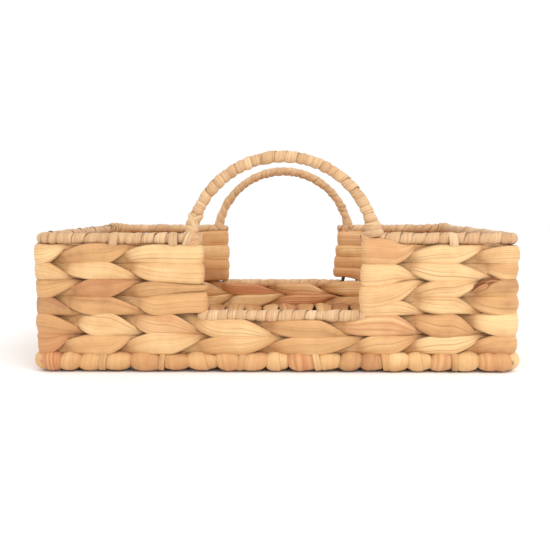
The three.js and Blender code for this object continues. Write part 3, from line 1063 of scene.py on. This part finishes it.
def fibre_group():
    """Colour and relief of dried plant fibre, with painted shade where stems cross and along their
    edges.
    It reads "fibre": metres along the stem, the place across it from -1 to 1, and a number for each
    stem and face."""
    tree = bpy.data.node_groups.get("Plant Fibre")
    if tree:
        return tree
    tree = bpy.data.node_groups.new("Plant Fibre", "ShaderNodeTree")
    inputs = (
        ("Color", "Dark", (0.3, 0.2, 0.1, 1)), ("Color", "Straw", (0.6, 0.4, 0.2, 1)),
        ("Color", "Pale", (0.8, 0.6, 0.3, 1)), ("Color", "Blush", (0.4, 0.2, 0.1, 1)),
        ("Float", "Fibres Across", 9.0), ("Float", "Fibre Length", 0.03),
        ("Float", "Streaks", 0.5), ("Float", "Edge", 0.7), ("Float", "Edge Start", 0.9))
    add_sockets(tree, inputs, (("Color", "Color"), ("Float", "Height"), ("Float", "Roughness")))
    make = Nodes(tree)
    given = make.given()

    def attribute(name, output="Fac"):
        return make.value("ShaderNodeAttribute", output=output, attribute_name=name)

    # Tone: fine hairs, broader bands and slow drifts, all drawn out along the stem, and mottling.
    along, across, stem = make.separate(attribute("fibre", "Vector"))
    length = along / given["Fibre Length"]
    fine = make.combine(length, across * given["Fibres Across"], stem)
    hair = make.noise(fine, 1.0, 4.0, 0.68)
    band = make.noise(make.combine(length * 0.3, across * 2.6, stem), 1.0, 3.0, 0.6)
    drift = make.noise(make.combine(length * 0.55, across, stem), 0.9)
    place = make.value("ShaderNodeTexCoord", output="Object")
    mottle = (make.noise(place, 55.0, 3.0, 0.6) - 0.5) * 0.7
    swing = (band - 0.5) * given["Streaks"] + (drift - 0.5) * 0.6
    tone = make.math("ADD", attribute("tone") + swing, mottle, clamp=True)
    low = make.mix(make.smooth(tone, 0.0, 0.5), given["Dark"], given["Straw"])
    colour = make.mix(make.smooth(tone, 0.45, 1.0), low, given["Pale"])

    # Red-brown stains lie in streaks, and a few short brown flecks lie anywhere.
    stain = attribute("blush") * make.smooth(band, 0.32, 0.6)
    colour = make.mix(stain, colour, given["Blush"])
    patch = make.smooth(make.noise(place, 24.0), 0.66, 0.74)
    fleck = patch * make.smooth(hair, 0.5, 0.66)
    colour = make.mix(fleck * 0.75, colour, given["Blush"])

    # Painted shade where a stem dives under another, fine fibres, and painted shade along the
    # edges.
    shade = make.mix(attribute("shade") * 0.62, (1, 1, 1, 1), (0.42, 0.24, 0.13, 1))
    colour = make.mix(1.0, colour, shade, "MULTIPLY")
    fibre = make.smooth(hair, 0.3, 0.68, 0.87, 1.07)
    # Painted shade along the edges, from Edge Start across the stem out to its rim.
    edge = make.smooth(abs(across), given["Edge Start"], 1.0, 1.0, given["Edge"])
    for factor in (fibre, edge):
        colour = make.mix(1.0, colour, make.combine(factor, factor, factor), "MULTIPLY")

    # Wrinkles, fewer on plain stems, and the dark line beside a fold.
    textured = 1.0 - attribute("plain") * 0.7

    def wrinkles(spacing, offset, width, mask, strength):
        """Thin dark lines along the stem, where a drawn-out noise passes its middle value."""
        drawn_out = make.combine(length * 0.22, across * spacing, stem + offset)
        contour = abs(make.noise(drawn_out, 1.0, 1.5) - 0.5)
        lines = 1.0 - make.smooth(contour, 0.0, width)
        return lines * make.smooth(mask, 0.42, 0.6, 0.0, strength) * textured

    broad = wrinkles(2.3, 5.0, 0.03, drift, 0.62)
    wrinkle = make.math("MAXIMUM", broad, wrinkles(5.2, 11.0, 0.05, 1.0 - drift, 0.3))
    past = across - attribute("fold") + (band - 0.5) * 0.16
    line = (1.0 - make.smooth(abs(past), 0.0, 0.05)) * (attribute("fold_depth") * 0.85)
    line = make.math("MAXIMUM", line, wrinkle)
    colour = make.mix(line, colour, make.mix(0.45, given["Dark"], given["Blush"]))
    make.add("NodeGroupOutput", {
        "Color": colour, "Height": hair * 0.6 + band * 0.7 - line,
        "Roughness": make.smooth(hair, 0.3, 0.75, 0.62, 0.46)})
    return tree


def new_material(name):
    """An empty material, and the maker of its nodes."""
    material = bpy.data.materials.new(name)
    material.use_nodes = True
    material.node_tree.nodes.clear()
    return material, Nodes(material.node_tree)


# What the plant fibre group is given in each material, besides its colours. Edge is how much of the
# colour is left at the very edges under their painted shade, and Edge Start is where across the
# stem that painted shade begins.
FINISHES = {
    "Woven Stem": {"Fibres Across": 15.0, "Fibre Length": 0.09, "Streaks": 0.4, "Edge": 0.42,
                   "Edge Start": 0.91},
    "Wound Strip": {"Fibres Across": 5.0, "Fibre Length": 0.016, "Streaks": 0.5, "Edge": 0.6,
                    "Edge Start": 0.8},
}


def fibre_material(name, *colours):
    """A material of plant fibre, made when it is first asked for."""
    if name in bpy.data.materials:
        return bpy.data.materials[name]
    material, make = new_material(name)
    palette = zip(("Dark", "Straw", "Pale", "Blush"), colours)
    inputs = {key: (*colour, 1.0) for key, colour in palette}
    fibre = make.add("ShaderNodeGroup", {**inputs, **FINISHES[name]}, node_tree=fibre_group())
    colour, height, roughness = (Value(make, socket) for socket in fibre.outputs)
    relief = make.value("ShaderNodeBump", {
        "Strength": 0.8, "Distance": 0.45 * MM, "Height": height})
    shader = make.value("ShaderNodeBsdfPrincipled", {
        "Base Color": colour, "Roughness": roughness, "Normal": relief,
        "Specular IOR Level": 0.35, "Sheen Weight": 0.08})
    make.add("ShaderNodeOutputMaterial", {"Surface": shader})
    return material


def leaf_material():
    of = bpy.context.scene.basket_colours
    return fibre_material("Woven Stem", of.shade, of.straw, of.pale, of.blush)


def strip_material():
    of = bpy.context.scene.basket_colours
    return fibre_material("Wound Strip", of.strip_shade, of.strip, of.strip_pale, of.blush)


def wire_material(colour):
    """Dark varnish with specks of rust."""
    material, make = new_material("Varnished Wire")
    place = make.value("ShaderNodeTexCoord", output="Object")
    rust = make.smooth(make.noise(place, 180.0, 4.0, 0.6), 0.5, 0.7)
    relief = make.value("ShaderNodeBump", {"Strength": 0.4, "Distance": 0.2 * MM, "Height": rust})
    shader = make.value("ShaderNodeBsdfPrincipled", {
        "Base Color": make.mix(rust, (*colour, 1.0), (0.16, 0.07, 0.03, 1.0)),
        "Roughness": make.smooth(rust, 0.0, 1.0, 0.38, 0.75), "Normal": relief, "Metallic": 0.6})
    make.add("ShaderNodeOutputMaterial", {"Surface": shader})
    return material


# ---------------------------------------------------------------- operators


class BASKET_OT_weave_walls(bpy.types.Operator):
    """Weave the courses of the walls round the stakes"""

    bl_idname = "basket.weave_walls"
    bl_label = "Weave Walls"

    def execute(self, context):
        weave = context.scene.basket_weave
        plan = Plan()
        for number in range(1, RINGS + 1):
            rng = np.random.default_rng([weave.seed, number])
            node = f"wall_course_{number}"
            paths = Paths()
            add_ring(paths, plan, weave, rng, wall_height(node, number), number)
            if number == 1:
                self.add_ties(paths, rng)
            sweep_stems(f"woven_{node}", node, paths, weave)
        for index, end in enumerate(ENDS):
            for number in range(RINGS + 1, WALL_COURSES + 1):
                rng = np.random.default_rng([weave.seed, number, index])
                node = f"{end}_course_{number}"
                paths = Paths()
                add_panel_course(paths, plan, weave, rng, wall_height(node, number), number, end)
                if node == "right_course_4":
                    add_stray_ends_and_gap_shadow(paths)
                sweep_stems(f"woven_{node}", node, paths, weave)
        return {"FINISHED"}

    def add_ties(self, paths, rng):
        """Narrow strips that tie the stakes to the bottom wire, in the grooves between lumps."""
        grooves = np.array(FRONT_LUMP_EDGES) * MM
        for x in STAKES_X:
            for y in (-PLAN_Y, PLAN_Y):
                groove = grooves[np.argmin(np.abs(grooves - x))] if y < 0 else x
                outward = np.array([0.0, math.copysign(1.0, y), 0.0])
                add_hoop(paths, np.array([groove, y, BOTTOM_Z]), outward, UP, 7.3 * MM,
                         rng.uniform(2.4, 3.2) * MM, 0.9 * MM, rng.uniform(0.3, 0.75),
                         tilt=rng.uniform(-0.2, 0.2), cup=0.3 * MM)


class BASKET_OT_weave_floor(bpy.types.Operator):
    """Weave the floor's courses, whose ends turn round the bottom wire"""

    bl_idname = "basket.weave_floor"
    bl_label = "Weave Floor"

    def execute(self, context):
        weave = context.scene.basket_weave
        for number in range(1, FLOOR_COURSES + 1):
            node = f"floor_course_{number:02d}"
            rng = np.random.default_rng([weave.seed, 100 + number])
            paths = Paths()
            add_floor_course(paths, weave, rng, middle(node).x, half_size(node).x, number)
            sweep_stems(f"woven_{node}", node, paths, weave, section_points=24)
        return {"FINISHED"}


BORDER_HOOPS = 15  # along each end
BORDER_OVERRUN = 5.0 * MM  # how far that row starts and stops round the corners
BORDER_HALF_WIDTH = 10.6 * MM
CORNER_LUMP_PLACE = 8.0 * MM  # from the corner, along the front and back
CORNER_LUMP_HALF_WIDTH = 9.3 * MM


class BASKET_OT_wrap_border(bpy.types.Operator):
    """Wrap the two end runs of the bottom wire and their corners"""

    bl_idname = "basket.wrap_border"
    bl_label = "Wrap Border"

    def execute(self, context):
        weave = context.scene.basket_weave
        plan = Plan()
        for index, end in enumerate(ENDS):
            node = f"{end}_border_wrap"
            rng = np.random.default_rng([weave.seed, 200 + index])
            paths = Paths()
            self.add_hoops(paths, rng, plan, end)
            sweep_stems(f"wound_{node}", node, paths, weave, section_points=24)
        return {"FINISHED"}

    def add_hoops(self, paths, rng, plan, end):
        """One lump on the front wire and one on the back wire, with a row along the end between
        them. The row's first and last curl in to close the corners."""
        if end == "left":
            corners, into = (plan.marks[0], plan.marks[3]), (1.0, -1.0)
        else:
            corners, into = (plan.marks[1], plan.marks[2]), (-1.0, 1.0)
        for corner, way in zip(corners, into):
            stained = end == "left" and corner == plan.marks[0]
            place, outward = plan.at(corner + way * CORNER_LUMP_PLACE)
            add_hoop(paths, place + BOTTOM_Z * UP, outward, UP, LUMP_REACH,
                     CORNER_LUMP_HALF_WIDTH, LUMP_HALF_THICKNESS, rng.uniform(0.4, 0.8),
                     cup=2.6 * MM, plain=1.0, tilt=rng.uniform(-0.15, 0.15),
                     blush=0.95 if stained else 0.3)
        far_corner = corners[1] if end == "right" else corners[1] - plan.length
        first = corners[0] - into[0] * BORDER_OVERRUN
        last = far_corner - into[1] * BORDER_OVERRUN
        for i, distance in enumerate(np.linspace(first, last, BORDER_HOOPS)):
            place, outward = plan.at(distance)
            cup = 5.5 * MM if i in (0, BORDER_HOOPS - 1) else 2.0 * MM
            add_hoop(paths, place + BOTTOM_Z * UP, outward, UP, LUMP_REACH,
                     BORDER_HALF_WIDTH * rng.uniform(0.94, 1.04), LUMP_HALF_THICKNESS,
                     rng.uniform(0.35, 0.8), cup=cup, tilt=rng.uniform(-0.2, 0.2),
                     blush=rng.uniform(0, 0.25), plain=1.0)


# Where short strips come down from the high rims over the top course, along the front.
TOP_TIES = {"left": (-0.131, -0.083), "right": (0.142,)}
LOW_RIM_TUCK = 5 * MM  # how far the low rims' strips go in behind the panels' edges


class BASKET_OT_wind_rims(bpy.types.Operator):
    """Wind the strip round the high and low rims"""

    bl_idname = "basket.wind_rims"
    bl_label = "Wind Rims"

    def execute(self, context):
        wraps = context.scene.basket_wraps
        plan = Plan()
        for index, end in enumerate(ENDS):
            rng = np.random.default_rng([wraps.seed, index])
            paths = Paths()
            self.wind_high_rim(paths, plan, wraps, rng, end)
            for x in TOP_TIES[end]:
                place, outward = plan.at(plan.front(x))
                add_hoop(paths, place + (RIM_Z - 1.9 * MM) * UP, outward, UP, 6.4 * MM,
                         rng.uniform(3.4, 4.2) * MM, 0.8 * MM, rng.uniform(0.5, 0.9), cup=0.5 * MM,
                         tilt=rng.uniform(-0.2, 0.2), fold=0.2, fold_depth=0.7)
            sweep_strips(f"wound_{end}_rim", f"{end}_rim_wrap", paths, wraps)
        for index, side in enumerate(SIDES):
            rng = np.random.default_rng([wraps.seed, 10 + index])
            place = plan.front if side == "front" else plan.back
            left, right = DIP_EDGES["left"] - LOW_RIM_TUCK, DIP_EDGES["right"] + LOW_RIM_TUCK
            ends = sorted((place(left), place(right)))
            paths = Paths()
            wind(paths, rng, wraps, level_rail(plan, ends[0], LOW_RIM_Z), ends[1] - ends[0],
                 wraps.rim_pitch, lambda distance: RIM_R - wraps.strip_half_thickness)
            sweep_strips(f"wound_{side}_low_rim", f"{side}_low_rim_wrap", paths, wraps)
        return {"FINISHED"}

    def wind_high_rim(self, paths, plan, wraps, rng, end):
        """The strip round one high rim, thicker where its turns pile up at the back corner and
        under the knot."""
        edge = DIP_EDGES[end]
        # Each swell is its place, and in millimetres how much thicker it is and how long.
        if end == "right":
            start, stop = plan.front(edge), plan.back(edge)
            swells = [(plan.marks[2], 2.2, 16)]
        else:
            start, stop = plan.back(edge) - plan.length, plan.front(edge)
            swells = [(plan.marks[3] - plan.length, 2.4, 16), (stop - 6.5 * MM, 0.8, 5)]

        def radius(distance):
            reach = RIM_R - wraps.strip_half_thickness
            for place, height, spread in swells:
                off = (start + distance - place) / (spread * MM)
                reach += height * MM * math.exp(-off * off)
            return reach

        corners = [mark - start for mark in (*plan.marks, plan.marks[3] - plan.length)]
        corners = [corner for corner in corners if 0 < corner < stop - start]
        wind(paths, rng, wraps, level_rail(plan, start, RIM_Z), stop - start, wraps.rim_pitch,
             radius, corners=corners)
        if end == "left":
            self.add_knot(paths, plan, stop - 8.5 * MM)

    def add_knot(self, paths, plan, distance):
        """A round knot in front of the rim, with a strip over it."""
        share = np.linspace(-1, 1, 15)
        profile = np.sqrt(np.maximum(1 - share ** 2, 0.02))
        place, outward = plan.at(distance)
        centres = place + 1.6 * MM * outward + (RIM_Z - 0.8 * MM) * UP
        centres = centres + np.outer(share, 7.6 * MM * left_of(outward) + 1.2 * MM * UP)
        facing = np.broadcast_to(outward, (len(share), 3))
        paths.add(centres, facing, half_width=6.6 * MM * profile,
                  half_thickness=5.4 * MM * profile, tone=0.6, blush=0.35, fold=0.1,
                  fold_depth=1.0)
        place, outward = plan.at(distance - 3.5 * MM)
        add_hoop(paths, place + RIM_Z * UP, outward, UP, 6.9 * MM, 2.8 * MM, 0.8 * MM, 0.75,
                 tilt=-0.45, cup=0.3 * MM, fold=0.2, fold_depth=0.8)


# Each handle's foot over the rim, how much wider its strip is at the left and right feet, and
# the angle of the side where its turns lie square. Lengths are in millimetres.
HANDLE_SHAPES = {
    "front": (2.5, 0.4, 3.3, -math.pi / 2),
    "back": (-2.0, 1.8, 1.8, math.pi / 2),
}
FLARE_SPREAD = 12 * MM


class BASKET_OT_wind_handles(bpy.types.Operator):
    """Wind the strip round the handles, with a binding at the front handle's left foot"""

    bl_idname = "basket.wind_handles"
    bl_label = "Wind Handles"

    def execute(self, context):
        wraps = context.scene.basket_wraps
        for index, side in enumerate(SIDES):
            rng = np.random.default_rng([wraps.seed, 20 + index])
            foot_rise, left_flare, right_flare, face = HANDLE_SHAPES[side]
            centre, radius = handle_arc(side)
            foot = math.asin((RIM_Z + foot_rise * MM - centre[2]) / radius)
            length = radius * (math.pi - 2 * foot)
            reach = half_size(f"{side}_handle_wrap").y - wraps.strip_half_thickness

            def swell(distance):
                left = left_flare * math.exp(-(distance / FLARE_SPREAD) ** 2)
                right = right_flare * math.exp(-((length - distance) / FLARE_SPREAD) ** 2)
                return reach + (left + right) * MM

            rail = arch_rail(centre, radius, foot)
            paths = Paths()
            wind(paths, rng, wraps, rail, length, wraps.handle_pitch, swell, face, taper=1.5 * MM)
            if side == "front":
                self.cross_binding(paths, rail, reach)
            sweep_strips(f"wound_{side}_handle", f"{side}_handle_wrap", paths, wraps)
        return {"FINISHED"}

    def cross_binding(self, paths, rail, reach):
        """Two strips crossed round the left foot."""
        for up, tilt, tone in ((11.5, 0.75, 0.85), (13.0, -0.75, 0.7)):
            place, outward, along = rail(up * MM)
            add_hoop(paths, place, along, outward, reach + 1.2 * MM, 2.9 * MM, 1.0 * MM, tone,
                     start=0.0, tilt=tilt, cup=0.4 * MM, fold=0.1, fold_depth=0.6)


class BASKET_OT_varnish_wires(bpy.types.Operator):
    """Give the wires, which no stem or strip has replaced, their varnish"""

    bl_idname = "basket.varnish_wires"
    bl_label = "Varnish Wires"

    def execute(self, context):
        material = wire_material(context.scene.basket_colours.wire)
        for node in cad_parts.values():
            if not node.hide_render:
                node.data.materials.clear()
                node.data.materials.append(material)
        return {"FINISHED"}


FLOOR_HALF = 6.0  # metres from the middle to each side
LIGHTS_AIM = (0.0, 0.0, 0.07)
CAMERA_PLACE = (0.00757, -0.79511, 0.13543)
CAMERA_TURN = (math.radians(85.11), 0.0, math.radians(0.75))


class BASKET_OT_light_stage(bpy.types.Operator):
    """Add the floor, the lights and the camera"""

    bl_idname = "basket.light_stage"
    bl_label = "Light Stage"

    def execute(self, context):
        stage = context.scene.basket_stage
        self.add_floor(stage)
        self.add_room(context.scene, stage)
        self.add_softbox("Key", (0.7, -1.1, 1.15), 1.0, stage.key_power)
        self.add_softbox("Fill", (-1.2, -0.9, 0.7), 1.2, stage.fill_power)
        self.add_camera(context.scene, stage)
        return {"FINISHED"}

    def add_floor(self, stage):
        mesh = bpy.data.meshes.new("Floor")
        signs = ((-1, -1), (1, -1), (1, 1), (-1, 1))
        mesh.from_pydata([(x * FLOOR_HALF, y * FLOOR_HALF, 0) for x, y in signs], [], [range(4)])
        floor = bpy.data.objects.new("Floor", mesh)
        bpy.context.scene.collection.objects.link(floor)
        material = bpy.data.materials.new("Pale Floor")
        material.use_nodes = True
        shader = material.node_tree.nodes["Principled BSDF"]
        shader.inputs["Base Color"].default_value = (*stage.floor, 1.0)
        shader.inputs["Roughness"].default_value = 0.9
        shader.inputs["Specular IOR Level"].default_value = 0.1
        mesh.materials.append(material)

    def add_room(self, scene, stage):
        world = bpy.data.worlds.new("Studio")
        world.use_nodes = True
        background = world.node_tree.nodes["Background"]
        background.inputs["Color"].default_value = (1.0, 1.0, 1.0, 1.0)
        background.inputs["Strength"].default_value = stage.ambient
        scene.world = world
        scene.view_settings.view_transform = "Standard"

    def add_softbox(self, name, place, size, power):
        light = bpy.data.lights.new(name, "AREA")
        light.shape = "SQUARE"
        light.size = size
        light.energy = power
        lamp = bpy.data.objects.new(name, light)
        lamp.location = place
        lamp.rotation_mode = "QUATERNION"
        aim = Vector(LIGHTS_AIM) - Vector(place)
        lamp.rotation_quaternion = aim.to_track_quat("-Z", "Y")
        bpy.context.scene.collection.objects.link(lamp)

    def add_camera(self, scene, stage):
        data = bpy.data.cameras.new("Camera")
        data.lens = stage.lens
        data.sensor_width = 36.0
        camera = bpy.data.objects.new("Camera", data)
        camera.location = CAMERA_PLACE
        camera.rotation_euler = CAMERA_TURN
        scene.collection.objects.link(camera)
        scene.camera = camera


class BASKET_PT_sidebar(bpy.types.Panel):
    """The basket's steps and settings"""

    bl_idname = "BASKET_PT_sidebar"
    bl_label = "Bread Basket"
    bl_space_type = "VIEW_3D"
    bl_region_type = "UI"
    bl_category = "Basket"

    def draw(self, context):
        for operator in OPERATORS:
            self.layout.operator(operator.bl_idname)
        for name in SETTINGS:
            settings = getattr(context.scene, name)
            box = self.layout.box()
            for key in settings.__annotations__:
                box.prop(settings, key)


SETTINGS = {
    "basket_weave": BasketWeave,
    "basket_wraps": BasketWraps,
    "basket_colours": BasketColours,
    "basket_stage": BasketStage,
}
OPERATORS = (
    BASKET_OT_weave_walls,
    BASKET_OT_weave_floor,
    BASKET_OT_wrap_border,
    BASKET_OT_wind_rims,
    BASKET_OT_wind_handles,
    BASKET_OT_varnish_wires,
    BASKET_OT_light_stage,
)


def register():
    for cls in (*SETTINGS.values(), *OPERATORS, BASKET_PT_sidebar):
        bpy.utils.register_class(cls)
    for name, cls in SETTINGS.items():
        setattr(bpy.types.Scene, name, bpy.props.PointerProperty(type=cls))


def unregister():
    for name in SETTINGS:
        delattr(bpy.types.Scene, name)
    for cls in reversed((*SETTINGS.values(), *OPERATORS, BASKET_PT_sidebar)):
        bpy.utils.unregister_class(cls)


def main():
    register()
    bpy.ops.basket.weave_walls()
    bpy.ops.basket.weave_floor()
    bpy.ops.basket.wrap_border()
    bpy.ops.basket.wind_rims()
    bpy.ops.basket.wind_handles()
    bpy.ops.basket.varnish_wires()
    bpy.ops.basket.light_stage()


if __name__ == "__main__":
    main()
